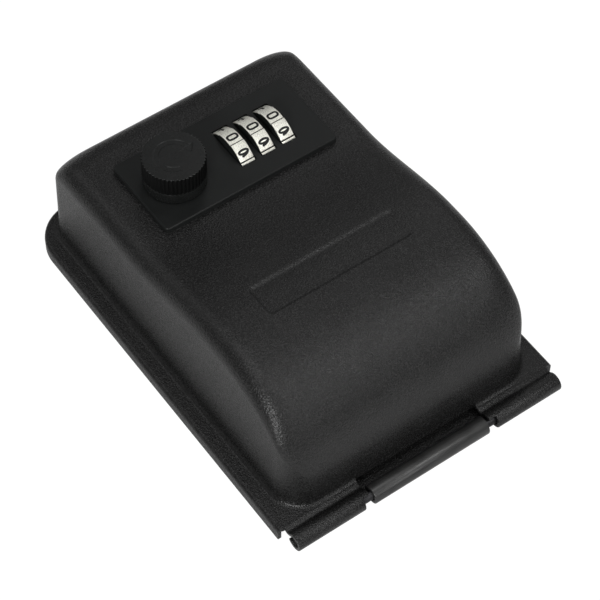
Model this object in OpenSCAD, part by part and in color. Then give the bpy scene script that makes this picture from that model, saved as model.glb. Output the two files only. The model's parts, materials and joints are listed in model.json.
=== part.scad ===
// Wall-mounted key box with a three-wheel combination lock, lying on its back.
// +Z points out of the wall, +Y from the hinge to the lock, and the origin is
// the middle of the box on the wall face.

/* [Case] */
// Width over the folded edge of the door
door_w = 102; // [100:0.2:106]
// Length from the hinge barrels to the far edge of the door
door_l = 146.4; // [144:0.2:150]
// Thickness of the sheet metal
sheet = 1.2; // [1:0.1:1.4]
// Height of the top face of the door's flange
flange_z = 4.7; // [4.4:0.1:5.2]
// Width of the drawn pan at its foot
pan_w = 90; // [88:0.2:91]
// Height of the flat face that carries the lock
lock_face_z = 40.9; // [40.5:0.1:41.5]
// Height of the bulge over the keys
bulge_z = 46.8; // [45:0.1:48]
// Radius of the pan's rounded shoulder
shoulder_r = 7; // [6:0.5:8]

/* [Hinge] */
// Outer radius of the hinge barrels
barrel_r = 3; // [2.8:0.1:3.2]
// Radius of the hinge pin
pin_r = 1.5; // [1.3:0.1:1.7]
// Half length of the middle barrel
mid_barrel_x = 21.2; // [19:0.1:23]

/* [Lock] */
// Width of the lock plate
plate_w = 63; // [62:0.5:66]
// Length of the lock plate
plate_l = 30.1; // [29.5:0.1:32]
// Thickness of the lock plate
plate_t = 2; // [1.8:0.1:2.4]
// Distance from the middle of the box to the knob
knob_x = 18.5; // [18:0.5:19]
// Height of the knob over the lock plate
knob_h = 10.9; // [10:0.1:12]
// Largest radius of the knob
knob_r = 9.9; // [9:0.1:10.5]
// Radius of the number wheels
wheel_r = 10.5; // [10.3:0.1:10.6]
// Width of one number wheel
wheel_w = 5; // [4.8:0.1:5]
// Distance from one number wheel to the next
wheel_pitch = 7.5; // [7.5:0.1:7.6]

/* [Wall fixing] */
// Distance between the wall screws across the box
wall_screw_dx = 60; // [58:1:64]
// Distance between the wall screws along the box
wall_screw_dy = 82; // [78:1:86]
// Radius of the wall screw holes
wall_screw_r = 2.5; // [2:0.1:3]

/* [Hidden] */
$fn = 96;
eps = 0.05;

// Fits and gaps
pin_clearance = 0.1;
shaft_clearance = 0.1;
screw_clearance = 0.1;
side_gap = 0.3;
seat_gap = 0.2;

// Plan of the case
front_y = -door_l / 2;
back_y = door_l / 2;
hinge_y = front_y + barrel_r;
hinge_z = barrel_r;
valley_l = 1.5;
flange_front_y = hinge_y + barrel_r + valley_l;
lip_bottom_z = 0;
flange_corner_r = 14.5;
barrel_gap = 3.6;
barrel_inset = 2.2;
slot_gap = 1.2;
outer_barrel_x0 = mid_barrel_x + barrel_gap;
outer_barrel_x1 = door_w / 2 - barrel_inset;
barrel_slot_x = mid_barrel_x + slot_gap;
leaf_crest_l = 1;
tongue_gap = 0.4;
tongue_dy = 0.5;
tongue_hw = outer_barrel_x0 - tongue_gap;
web_z0 = 2.6;
web_z1 = 3.9;

// The drawn pan: a drafted wall, a round shoulder and a top that curves down
// to the front, steps down in an S to the lock and falls off at the back
front_land = 2.2;
back_land = 5.1;
pan_front_y = flange_front_y + front_land;
pan_back_y = back_y - back_land;
pan_draft = 0.7;
foot_r = 1.6;
wall_foot_z = flange_z + foot_r;
front_corner_r = 10;
back_corner_r = 7;
front_corner_growth = 0.6;
back_corner_growth = 0.9;
front_curve_l = 37.4;
front_curve_h = 31.7;
back_curve_l = 12.5;
back_curve_h = 10.7;
slope_l = 41;
slope_gap = 0.25;
lock_back_l = 38.7;
lock_y = back_y - lock_back_l;
slope_y1 = lock_y - plate_l / 2 - slope_gap;
slope_y0 = slope_y1 - slope_l;
corner_steps = 8;
slope_steps = 12;
level_steps = 6;
shoulder_steps = 6;

// Back plate
plate_side_gap = 0.6;
tray_step = 0.5;
rim_gap = 0.4;
tray_hw = door_w / 2 - sheet - plate_side_gap;
tray_front_y = pan_front_y - tray_step;
tray_back_y = back_y - sheet - plate_side_gap;
tray_corner_r = flange_corner_r - sheet - plate_side_gap;
tray_rim_z = flange_z - sheet - rim_gap;

// Number wheels and code sleeves
wheel_dy = 0.5;
wheel_y = lock_y + wheel_dy;
wheel_x = 11;
wheel_depth = 5;
axle_z = lock_face_z - wheel_depth;
axle_r = 1.5;
axle_seat = 2;
digits = 10;
groove_w = 0.9;
groove_depth = 0.45;
sleeve_r = 3.5;
disc_r = 5.2;
disc_t = 2;
gate_w = 2.8;
gate_depth = 1.6;

// Lock body, measured from the lock face downwards
plate_top_z = lock_face_z + plate_t;
plate_corner_r = 1.5;
plate_relief = 0.5;
screw_r = 1;
screw_head_r = 1.8;
screw_head_h = 1.3;
screw_slot_r = 1.1;
screw_slot_hw = 0.25;
screw_slot_depth = 0.6;
lock_screw_edge = 2.3;
lock_screw_x = plate_w / 2 - lock_screw_edge;
lock_screw_dy = 9;
lock_screw_depth = 1.4;
body_head_gap = 1.4;
body_hw = lock_screw_x - screw_head_r - body_head_gap;
body_hl = 12.4;
housing_z0 = 19.7;
cover_t = 1.5;
cover_z0 = housing_z0 - cover_t;
ear_inset = 0.5;
ear_hw = plate_w / 2 - ear_inset;
ear_hl = 14;
ear_t = 1.5;
ear_z0 = lock_face_z - sheet - ear_t;
chamber_gap = 0.4;
chamber_x0 = wheel_x - wheel_pitch - wheel_w / 2 - disc_t - chamber_gap;
chamber_x1 = wheel_x + wheel_pitch + wheel_w / 2 + chamber_gap;
chamber_hl = wheel_r + chamber_gap;
disc_window_gap = 1;
cover_screw_edge = 2.3;
cover_screw_x = body_hw - cover_screw_edge;
cover_screw_dy = 9.9;
cover_screw_depth = 5.3;

// Fence bar, raised by the lug on the spindle
fence_z0 = 23;
fence_t = 1.9;
fence_hl = 2;
fence_tongue_hl = 1;
fence_gap = 0.35;
tooth_w = 1.5;
tooth_hl = 1;

// Code change lever under the rear cover
lever_dx = 1;
lever_dy = 5.5;
lever_x = wheel_x + lever_dx;
lever_y = wheel_y + lever_dy;
lever_pin_r = 1.2;
lever_r = 3.5;
lever_hw = 2;
lever_reach = 9;
lever_t = 1.2;
lever_head_t = 1.2;
lever_head_edge = 0.8;

// Leaf spring whose fingers click into the wheels
finger_hw = 1.5;
finger_t = 0.4;
finger_dy = 8;
finger_foot = 1.5;
finger_gap = 0.35;
leaf_gap = 0.5;

// Knob, spindle and latch
spindle_r = 4;
tail_r = 2.5;
knob_z0 = plate_top_z + seat_gap;
knob_bore_h = 6.9;
ring_r = 6;
ring_z0 = housing_z0 + seat_gap;
ring_z1 = 21.2;
lug_z1 = 22.3;
lug_bay_r = 6.4;
lug_bay_z1 = 30;
cam_z0 = 14.6;
cam_t = 2;
cam_reach = 22;
cam_hw = 4.5;
cam_hub_r = 7;
washer_t = 0.8;
nut_h = 2.8;
nut_r = 4.6;
tail_z0 = 10.4;

// Strike on the back plate, over the tip of the latch
strike_hw = 8;
strike_t = 1.5;
strike_wall_dy = 25.5;
strike_foot_l = 12.5;
strike_lip_l = 7;
strike_wall_y = lock_y + strike_wall_dy;
strike_y0 = strike_wall_y - strike_foot_l;
strike_lip_y = strike_wall_y - strike_lip_l;
strike_lip_gap = 0.4;
strike_lip_z = cam_z0 + cam_t + strike_lip_gap;
rivet_r = 1.5;
rivet_head_r = 2.6;
rivet_head_h = 1.2;
strike_rivet_dx = 4.5;
strike_rivet_inset = 3.5;
strike_rivet_y = strike_y0 + strike_rivet_inset;

// Key hooks
hook_count = 4;
hook_pitch = 12;
hook_w = 3;
hook_top_z = 9.2;
hook_reach = 6;
hook_strip_hw = 34;
hook_lock_dy = 18;
hook_strip_y = lock_y - hook_lock_dy;
hook_strip_l = 9;
hook_t = 1.2;
hook_rivet_x = 28;

function smooth(t) = let (c = min(1, max(0, t))) c * c * (3 - 2 * c);

// How far a quarter ellipse of height h has dropped at share t of its length
function curve_drop(t, h) = let (c = min(1, max(0, t))) h * (1 - sqrt(1 - c * c));

// Height of the top of the pan along the box, before the round shoulder
function top_z(y, inset) =
    let (
        front_l = front_curve_l - inset,
        back_l = back_curve_l - inset,
        front_t = (pan_front_y + front_curve_l - y) / front_l,
        back_t = (y - pan_back_y + back_curve_l) / back_l
    )
    bulge_z - inset
        - (bulge_z - lock_face_z) * smooth((y - slope_y0) / (slope_y1 - slope_y0))
        - curve_drop(front_t, front_curve_h - inset)
        - curve_drop(back_t, back_curve_h - inset);

// Half of a rounded rectangle from its front straight to its back straight, with
// a point where the slope ends
function half_outline(hw, y0, y1, rf, rb) = concat(
    [for (i = [0:corner_steps])
        let (a = 90 - 90 * i / corner_steps)
        [hw - rf + rf * cos(a), y0 + rf - rf * sin(a)]],
    [for (i = [1:slope_steps])
        [hw, (y0 + rf) + (slope_y1 - y0 - rf) * i / slope_steps]],
    [for (i = [1:level_steps - 1])
        [hw, slope_y1 + (y1 - rb - slope_y1) * i / level_steps]],
    [for (i = [0:corner_steps])
        let (a = 90 * i / corner_steps)
        [hw - rb + rb * cos(a), y1 - rb + rb * sin(a)]]
);

function both_sides(half) = concat(
    half,
    [for (i = [len(half) - 1:-1:0]) [-half[i][0], half[i][1]]]
);

// Plan outline of the pan, drawn in from its foot; growth opens the corners
function pan_outline(inset, growth) = both_sides(half_outline(
    pan_w / 2 - inset,
    pan_front_y + inset,
    pan_back_y - inset,
    front_corner_r * (1 + front_corner_growth * growth) - min(inset, sheet),
    back_corner_r * (1 + back_corner_growth * growth) - min(inset, sheet)
));

// One ring of the pan's skin; turn runs from 0 on the wall to 90 on the top
function shoulder_ring(inset, turn) =
    let (
        round_r = shoulder_r - inset,
        growth = 1 - cos(turn)
    )
    [for (p = pan_outline(inset + pan_draft + round_r * growth, growth))
        [p[0], p[1], top_z(p[1], inset) - round_r * (1 - sin(turn))]];

// One ring of the pan's wall, drawn in by the given amount, at height z
function wall_ring(inset, z) = [for (p = pan_outline(inset, 0)) [p[0], p[1], z]];

function skin(inset) = [
    for (i = [0:shoulder_steps]) shoulder_ring(inset, 90 * i / shoulder_steps)
];

// Triangles between ring a and ring b of n points
function band(a, b, n) = [
    for (i = [0:n - 1], t = [0:1])
        let (j = (i + 1) % n)
        t == 0 ? [a * n + i, b * n + i, b * n + j] : [a * n + i, b * n + j, a * n + j]
];

// Triangles that close ring a from side to side
function cap(a, n) = [
    for (i = [0:n / 2 - 2], t = [0:1])
        t == 0
            ? [a * n + i, a * n + n - 1 - i, a * n + n - 2 - i]
            : [a * n + i, a * n + n - 2 - i, a * n + i + 1]
];

function flipped(faces) = [for (f = faces) [f[0], f[2], f[1]]];

module pan() {
    flange_z0 = flange_z - sheet;
    outer = concat(
        [
            wall_ring(-foot_r, flange_z0),
            wall_ring(-foot_r, flange_z - eps),
            wall_ring(-foot_r * 0.3, flange_z + foot_r * 0.3),
            wall_ring(0, wall_foot_z)
        ],
        skin(0)
    );
    inner = concat([wall_ring(sheet, flange_z0)], skin(sheet));
    n = len(outer[0]);
    last = len(outer) - 1;
    first = len(outer);
    end = first + len(inner) - 1;
    polyhedron(
        points = [for (ring = concat(outer, inner), p = ring) p],
        faces = concat(
            [for (k = [0:last - 1]) each band(k, k + 1, n)],
            cap(last, n),
            flipped([for (k = [first:end - 1]) each band(k, k + 1, n)]),
            flipped(cap(end, n)),
            flipped(band(0, first, n))
        )
    );
}

// A rectangle in plan whose two far corners are rounded
module back_rounded(hw, y0, y1, r) {
    translate([-hw, y0])
        square([2 * hw, y1 - r - y0]);
    translate([-hw + r, y0])
        square([2 * (hw - r), y1 - y0]);
    for (s = [-1, 1])
        translate([s * (hw - r), y1 - r])
            circle(r);
}

module rounded_rect(hw, hl, r) {
    square([2 * hw, 2 * (hl - r)], center = true);
    square([2 * (hw - r), 2 * hl], center = true);
    for (sx = [-1, 1], sy = [-1, 1])
        translate([sx * (hw - r), sy * (hl - r)])
            circle(r);
}

module box(x0, x1, y0, y1, z0, z1) {
    translate([x0, y0, z0])
        cube([x1 - x0, y1 - y0, z1 - z0]);
}

module rod_x(x0, x1, r) {
    translate([x0, 0, 0])
        rotate([0, 90, 0])
            cylinder(r = r, h = x1 - x0);
}

module rod_z(z0, z1, r) {
    translate([0, 0, z0])
        cylinder(r = r, h = z1 - z0);
}

module lock_screw_places() {
    for (sx = [-1, 1], sy = [-1, 1])
        translate([sx * lock_screw_x, lock_y + sy * lock_screw_dy, 0])
            children();
}

module cover_screw_places() {
    for (sx = [-1, 1], sy = [-1, 1])
        translate([sx * cover_screw_x, wheel_y + sy * cover_screw_dy, 0])
            children();
}

module wheel_places() {
    for (i = [-1:1])
        translate([wheel_x + i * wheel_pitch, wheel_y, axle_z])
            children();
}

module flange_and_lip() {
    difference() {
        translate([0, 0, lip_bottom_z])
            linear_extrude(flange_z - lip_bottom_z)
                back_rounded(door_w / 2, flange_front_y, back_y, flange_corner_r);
        translate([0, 0, lip_bottom_z - 1])
            linear_extrude(flange_z - sheet - lip_bottom_z + 1)
                back_rounded(
                    door_w / 2 - sheet,
                    flange_front_y - 1,
                    back_y - sheet,
                    flange_corner_r - sheet
                );
        linear_extrude(flange_z + 1)
            polygon(pan_outline(sheet / 2, 0));
    }
}

module door_shell() {
    color("#2c2c2c")
        difference() {
            union() {
                pan();
                flange_and_lip();
                for (s = [-1, 1]) {
                    x0 = s > 0 ? barrel_slot_x : -outer_barrel_x1;
                    x1 = x0 + outer_barrel_x1 - barrel_slot_x;
                    translate([0, hinge_y, hinge_z])
                        rod_x(x0, x1, barrel_r);
                    box(x0, x1, hinge_y, flange_front_y + 1, web_z0, web_z1);
                }
            }
            translate([0, hinge_y, hinge_z])
                rod_x(-door_w, door_w, pin_r + pin_clearance);
            box(
                -barrel_slot_x, barrel_slot_x,
                front_y, pan_front_y - 0.2,
                0, wall_foot_z
            );
            box(
                -outer_barrel_x0, outer_barrel_x0,
                front_y - 1, hinge_y - leaf_crest_l,
                -1, wall_foot_z
            );
            box(
                -outer_barrel_x0, outer_barrel_x0,
                front_y - 1, hinge_y + barrel_r,
                -1, web_z0
            );
            box(
                -body_hw - side_gap, body_hw + side_gap,
                wheel_y - body_hl - side_gap, wheel_y + body_hl + side_gap,
                lock_face_z - 5, lock_face_z + 5
            );
            lock_screw_places()
                rod_z(lock_face_z - 5, lock_face_z + 5, screw_r + screw_clearance);
        }
}

module back_plate() {
    color("#343434")
        difference() {
            union() {
                linear_extrude(sheet)
                    back_rounded(tray_hw, tray_front_y, tray_back_y, tray_corner_r);
                difference() {
                    linear_extrude(tray_rim_z)
                        back_rounded(tray_hw, tray_front_y, tray_back_y, tray_corner_r);
                    translate([0, 0, -1])
                        linear_extrude(tray_rim_z + 2)
                            back_rounded(
                                tray_hw - sheet,
                                tray_front_y - 1,
                                tray_back_y - sheet,
                                tray_corner_r - sheet
                            );
                }
                box(-mid_barrel_x, mid_barrel_x, hinge_y, tray_front_y + 1, 0, sheet);
                box(-tongue_hw, tongue_hw, hinge_y + tongue_dy, tray_front_y + 1, 0, sheet);
                translate([0, hinge_y, hinge_z])
                    rod_x(-mid_barrel_x, mid_barrel_x, barrel_r);
            }
            translate([0, hinge_y, hinge_z])
                rod_x(-door_w, door_w, pin_r);
            for (sx = [-1, 1], sy = [-1, 1])
                translate([sx * wall_screw_dx / 2, sy * wall_screw_dy / 2, 0])
                    rod_z(-1, sheet + 1, wall_screw_r);
            for (s = [-1, 1]) {
                translate([-knob_x + s * strike_rivet_dx, strike_rivet_y, 0])
                    rod_z(-1, sheet + 1, rivet_r);
                translate([s * hook_rivet_x, hook_strip_y, 0])
                    rod_z(-1, sheet + 1, rivet_r);
            }
        }
}

module hinge_pin() {
    color("#6a6a6a")
        translate([0, hinge_y, hinge_z])
            rod_x(-outer_barrel_x1 + 0.8, outer_barrel_x1 - 0.8, pin_r);
}

module lock_plate() {
    color("#262727")
        difference() {
            translate([0, lock_y, lock_face_z])
                linear_extrude(plate_t)
                    rounded_rect(plate_w / 2, plate_l / 2, plate_corner_r);
            wheel_places()
                rod_x(-wheel_w / 2 - side_gap, wheel_w / 2 + side_gap, wheel_r + side_gap);
            box(
                chamber_x0, chamber_x1,
                wheel_y - disc_r - disc_window_gap, wheel_y + disc_r + disc_window_gap,
                lock_face_z - 1, lock_face_z + plate_relief
            );
            translate([-knob_x, lock_y, 0])
                rod_z(lock_face_z - 1, plate_top_z + 1, spindle_r + shaft_clearance);
            lock_screw_places()
                rod_z(lock_face_z - 1, lock_face_z + lock_screw_depth, screw_r);
        }
}

module lock_housing() {
    color("#8d8f8f")
        difference() {
            union() {
                box(
                    -body_hw, body_hw,
                    wheel_y - body_hl, wheel_y + body_hl,
                    housing_z0, lock_face_z
                );
                box(
                    -ear_hw, ear_hw,
                    lock_y - ear_hl, lock_y + ear_hl,
                    ear_z0, ear_z0 + ear_t
                );
            }
            box(
                chamber_x0, chamber_x1,
                wheel_y - chamber_hl, wheel_y + chamber_hl,
                housing_z0 - 1, lock_face_z + 1
            );
            translate([0, wheel_y, axle_z])
                rod_x(chamber_x0 - axle_seat, body_hw + 1, axle_r);
            translate([-knob_x, lock_y, 0]) {
                rod_z(housing_z0 - 1, lock_face_z + 1, spindle_r + shaft_clearance);
                rod_z(housing_z0 - 1, lug_bay_z1, lug_bay_r);
            }
            box(
                -knob_x, chamber_x0 + 1,
                wheel_y - fence_hl - side_gap, wheel_y + fence_hl + side_gap,
                housing_z0 - 1, fence_z0 + fence_t + side_gap
            );
            cover_screw_places()
                rod_z(housing_z0 - 1, housing_z0 + cover_screw_depth, screw_r);
            lock_screw_places()
                rod_z(ear_z0 - 1, lock_face_z, screw_r + screw_clearance);
        }
}

module lock_rear_cover() {
    color("#a3a5a5")
        difference() {
            box(
                -body_hw, body_hw,
                wheel_y - body_hl, wheel_y + body_hl,
                cover_z0, housing_z0
            );
            translate([-knob_x, lock_y, 0])
                rod_z(cover_z0 - 1, housing_z0 + 1, tail_r + shaft_clearance);
            translate([lever_x, lever_y, 0])
                rod_z(cover_z0 - 1, housing_z0 + 1, lever_pin_r + shaft_clearance);
            cover_screw_places()
                rod_z(cover_z0 - 1, housing_z0 + 1, screw_r + screw_clearance);
        }
}

// A pan-head screw that points up, with its head seated below z
module screw(z, depth) {
    difference() {
        union() {
            rod_z(z - screw_head_h, z, screw_head_r);
            rod_z(z - eps, z + depth, screw_r);
        }
        for (turn = [0, 90])
            rotate([0, 0, turn])
                box(
                    -screw_slot_r, screw_slot_r,
                    -screw_slot_hw, screw_slot_hw,
                    z - screw_head_h - 1, z - screw_head_h + screw_slot_depth
                );
    }
}

module rear_cover_screws() {
    color("#b9bbbb")
        cover_screw_places()
            screw(cover_z0, cover_t + cover_screw_depth);
}

module lock_screws() {
    color("#b9bbbb")
        lock_screw_places()
            screw(ear_z0, ear_t + sheet + lock_screw_depth);
}

module knob() {
    flutes = 48;
    flute_r = 0.35;
    collar_h = 3;
    top = knob_z0 + knob_h - seat_gap;
    color("#1f2020")
        translate([-knob_x, lock_y, 0])
            difference() {
                rotate_extrude()
                    polygon([
                        [0, knob_z0],
                        [knob_r - 0.2, knob_z0],
                        [knob_r, knob_z0 + 0.3],
                        [knob_r, top - 0.2],
                        [knob_r - 0.2, top],
                        [0, top]
                    ]);
                rod_z(knob_z0 - 1, knob_z0 + knob_bore_h, tail_r);
                for (i = [0:flutes - 1])
                    rotate([0, 0, 360 * i / flutes])
                        translate([knob_r + 0.1, 0, 0])
                            rod_z(knob_z0 + collar_h, top + 1, flute_r);
            }
}

module knob_spindle() {
    color("#9a9c9c")
        translate([-knob_x, lock_y, 0]) {
            rod_z(knob_z0 - eps, knob_z0 + knob_bore_h, tail_r);
            rod_z(ring_z1 - eps, knob_z0, spindle_r);
            rod_z(ring_z0, ring_z1, ring_r);
            box(spindle_r - 0.2, ring_r, -1, 1, ring_z1 - eps, lug_z1);
            rod_z(tail_z0, ring_z0 + eps, tail_r);
        }
}

module latch_cam() {
    color("#c0c2c2")
        translate([-knob_x, lock_y, 0])
            difference() {
                union() {
                    rod_z(cam_z0, cam_z0 + cam_t, cam_hub_r);
                    rod_z(cam_z0 + cam_t - eps, cover_z0 - seat_gap, spindle_r + 0.5);
                    box(
                        0, cam_reach - cam_hw,
                        -cam_hw, cam_hw,
                        cam_z0, cam_z0 + cam_t
                    );
                    translate([cam_reach - cam_hw, 0, 0])
                        rod_z(cam_z0, cam_z0 + cam_t, cam_hw);
                }
                rod_z(cam_z0 - 1, cover_z0, tail_r);
            }
}

module cam_washer() {
    color("#c8caca")
        translate([-knob_x, lock_y, 0])
            difference() {
                rod_z(cam_z0 - washer_t, cam_z0, tail_r + 2.3);
                rod_z(cam_z0 - washer_t - 1, cam_z0 + 1, tail_r);
            }
}

module cam_nut() {
    nut_z1 = cam_z0 - washer_t;
    color("#c8caca")
        translate([-knob_x, lock_y, 0])
            difference() {
                translate([0, 0, nut_z1 - nut_h])
                    cylinder(r = nut_r, h = nut_h, $fn = 6);
                rod_z(nut_z1 - nut_h - 1, nut_z1 + 1, tail_r);
            }
}

module number_wheel(index) {
    color("#d9d2c2")
        translate([wheel_x + (index - 2) * wheel_pitch, wheel_y, axle_z])
            difference() {
                rod_x(-wheel_w / 2, wheel_w / 2, wheel_r);
                rod_x(-wheel_w, wheel_w, sleeve_r);
                for (i = [0:digits - 1])
                    rotate([360 * (i + 0.5) / digits, 0, 0])
                        box(
                            -wheel_w, wheel_w,
                            -groove_w / 2, groove_w / 2,
                            wheel_r - groove_depth, wheel_r + 1
                        );
            }
}

module code_sleeve(index) {
    color("#b08d4f")
        translate([wheel_x + (index - 2) * wheel_pitch, wheel_y, axle_z])
            difference() {
                union() {
                    rod_x(-wheel_w / 2 - eps, wheel_w / 2, sleeve_r);
                    rod_x(-wheel_w / 2 - disc_t, -wheel_w / 2, disc_r);
                }
                rod_x(-wheel_w, wheel_w, axle_r + shaft_clearance);
                box(
                    -wheel_w / 2 - disc_t - 1, -wheel_w / 2,
                    -gate_w / 2, gate_w / 2,
                    -disc_r - 1, -disc_r + gate_depth
                );
            }
}

module number_wheel_1() { number_wheel(1); }
module number_wheel_2() { number_wheel(2); }
module number_wheel_3() { number_wheel(3); }
module code_sleeve_1() { code_sleeve(1); }
module code_sleeve_2() { code_sleeve(2); }
module code_sleeve_3() { code_sleeve(3); }

module dial_axle() {
    color("#b5b7b7")
        translate([0, wheel_y, axle_z])
            rod_x(chamber_x0 - axle_seat, body_hw, axle_r);
}

module detent_spring() {
    finger_y = wheel_y - finger_dy;
    finger_top = axle_z - sqrt(pow(wheel_r, 2) - pow(finger_dy - finger_t, 2)) - finger_gap;
    color("#cfd1d1") {
        box(
            chamber_x0 + leaf_gap, chamber_x1 - leaf_gap,
            wheel_y - chamber_hl + side_gap, finger_y + finger_t + finger_foot,
            housing_z0, housing_z0 + finger_t
        );
        for (i = [-1:1])
            translate([wheel_x + i * wheel_pitch, 0, 0])
                box(
                    -finger_hw, finger_hw,
                    finger_y, finger_y + finger_t,
                    housing_z0, finger_top
                );
    }
}

module fence_bar() {
    tooth_top = axle_z - disc_r - fence_gap;
    tooth_x = wheel_w / 2 + disc_t / 2 + 0.2;
    color("#a8aaaa")
        translate([0, wheel_y, 0]) {
            box(
                -knob_x + lug_bay_r, chamber_x1 - side_gap,
                -fence_hl, fence_hl,
                fence_z0, fence_z0 + fence_t
            );
            box(
                -knob_x + spindle_r + 0.4, -knob_x + lug_bay_r + eps,
                -fence_tongue_hl, fence_tongue_hl,
                fence_z0, fence_z0 + fence_t
            );
            for (i = [-1:1])
                translate([wheel_x + i * wheel_pitch - tooth_x, 0, 0])
                    box(-tooth_w / 2, tooth_w / 2, -tooth_hl, tooth_hl, fence_z0, tooth_top);
        }
}

module change_lever() {
    top = cover_z0 - shaft_clearance;
    color("#c2a15c")
        translate([lever_x, lever_y, 0]) {
            rod_z(top - lever_t, top, lever_r);
            rod_z(top - eps, housing_z0 + shaft_clearance + eps, lever_pin_r);
            rod_z(
                housing_z0 + shaft_clearance,
                housing_z0 + shaft_clearance + lever_head_t,
                lever_pin_r + lever_head_edge
            );
            box(0, lever_reach, -lever_hw, lever_hw, top - lever_t, top);
            translate([lever_reach, 0, 0])
                rod_z(top - lever_t, top, lever_hw);
        }
}

module strike_bracket() {
    x0 = -knob_x - strike_hw;
    x1 = -knob_x + strike_hw;
    wall_y1 = strike_wall_y + strike_t;
    color("#8f9191")
        difference() {
            union() {
                box(x0, x1, strike_y0, wall_y1, sheet, sheet + strike_t);
                box(x0, x1, strike_wall_y, wall_y1, sheet, strike_lip_z + strike_t);
                box(
                    x0, x1, strike_lip_y, wall_y1,
                    strike_lip_z, strike_lip_z + strike_t
                );
            }
            for (s = [-1, 1])
                translate([-knob_x + s * strike_rivet_dx, strike_rivet_y, 0])
                    rod_z(0, sheet + strike_t + 1, rivet_r);
        }
}

// A rivet through the back plate, flush with the wall face
module rivet(stack) {
    rod_z(0, stack + eps, rivet_r);
    rod_z(stack, stack + rivet_head_h, rivet_head_r);
}

module strike_rivets() {
    color("#9c9e9e")
        for (s = [-1, 1])
            translate([-knob_x + s * strike_rivet_dx, strike_rivet_y, 0])
                rivet(sheet + strike_t);
}

module key_hook_strip() {
    strip_z1 = sheet + hook_t;
    color("#8f9191")
        difference() {
            union() {
                box(
                    -hook_strip_hw, hook_strip_hw,
                    hook_strip_y - hook_strip_l / 2, hook_strip_y + hook_strip_l / 2,
                    sheet, strip_z1
                );
                for (i = [0:hook_count - 1])
                    translate([(i - (hook_count - 1) / 2) * hook_pitch, hook_strip_y, 0]) {
                        box(-hook_w / 2, hook_w / 2, 0, hook_t, sheet, hook_top_z);
                        box(
                            -hook_w / 2, hook_w / 2,
                            0, hook_reach,
                            hook_top_z - hook_t, hook_top_z
                        );
                    }
            }
            for (s = [-1, 1])
                translate([s * hook_rivet_x, hook_strip_y, 0])
                    rod_z(0, strip_z1 + 1, rivet_r);
        }
}

module hook_rivets() {
    color("#9c9e9e")
        for (s = [-1, 1])
            translate([s * hook_rivet_x, hook_strip_y, 0])
                rivet(sheet + hook_t);
}

door_shell();
back_plate();
hinge_pin();
lock_plate();
lock_housing();
lock_rear_cover();
rear_cover_screws();
lock_screws();
knob();
knob_spindle();
latch_cam();
cam_washer();
cam_nut();
number_wheel_1();
number_wheel_2();
number_wheel_3();
code_sleeve_1();
code_sleeve_2();
code_sleeve_3();
dial_axle();
detent_spring();
fence_bar();
change_lever();
strike_bracket();
strike_rivets();
key_hook_strip();
hook_rivets();
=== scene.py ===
import json
import math

import bmesh
import bpy
from bpy.props import FloatProperty, FloatVectorProperty, IntProperty, PointerProperty
from mathutils import Matrix, Vector
from mathutils.geometry import delaunay_2d_cdt


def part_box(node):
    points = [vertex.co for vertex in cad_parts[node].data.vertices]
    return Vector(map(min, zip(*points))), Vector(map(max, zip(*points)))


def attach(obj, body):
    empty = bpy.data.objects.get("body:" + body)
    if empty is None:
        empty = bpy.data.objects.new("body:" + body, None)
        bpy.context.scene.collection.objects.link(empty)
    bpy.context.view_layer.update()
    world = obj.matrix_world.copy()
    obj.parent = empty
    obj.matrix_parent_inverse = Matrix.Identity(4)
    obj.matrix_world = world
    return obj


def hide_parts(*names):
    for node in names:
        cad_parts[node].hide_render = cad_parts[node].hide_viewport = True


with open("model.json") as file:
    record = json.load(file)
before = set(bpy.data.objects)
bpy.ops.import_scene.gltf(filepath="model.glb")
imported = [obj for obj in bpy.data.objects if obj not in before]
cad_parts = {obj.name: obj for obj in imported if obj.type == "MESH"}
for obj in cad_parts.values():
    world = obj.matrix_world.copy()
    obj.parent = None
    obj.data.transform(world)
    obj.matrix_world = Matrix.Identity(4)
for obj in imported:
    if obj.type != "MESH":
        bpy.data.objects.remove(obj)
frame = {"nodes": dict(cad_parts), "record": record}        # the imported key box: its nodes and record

bl_info = {
    "name": "Combination key box",
    "version": (1, 0, 0),
    "blender": (4, 5, 0),
    "location": "3D View > Sidebar > Key box",
    "description": "Dresses the packed key box with detailed pieces, finishes and a studio",
    "category": "Object",
}

WELD = 1e-6

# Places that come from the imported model
DOOR_LOW, DOOR_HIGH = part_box("door_shell")
TRAY_LOW, TRAY_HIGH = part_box("back_plate")
PLATE_LOW, PLATE_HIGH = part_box("lock_plate")
KNOB_LOW, KNOB_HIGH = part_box("knob")
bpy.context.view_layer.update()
WHEELS = ("number_wheel_1", "number_wheel_2", "number_wheel_3")


def middle(node):
    """The middle of a CAD node's box."""
    low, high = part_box(node)
    return (low + high) / 2


def colour(name, note, default):
    """A colour that a user can change."""
    return FloatVectorProperty(
        name=name, description=note, subtype="COLOR", size=3, min=0, max=1, default=default
    )


def length(name, note, default):
    """A length that a user can change, in metres."""
    return FloatProperty(name=name, description=note, unit="LENGTH", precision=5, default=default)


def angle(name, note, degrees):
    """An angle that a user can change, given here in degrees."""
    return FloatProperty(name=name, description=note, subtype="ANGLE", default=math.radians(degrees))


def number(name, note, default):
    """A plain number that a user can change."""
    return FloatProperty(name=name, description=note, default=default)


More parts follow.
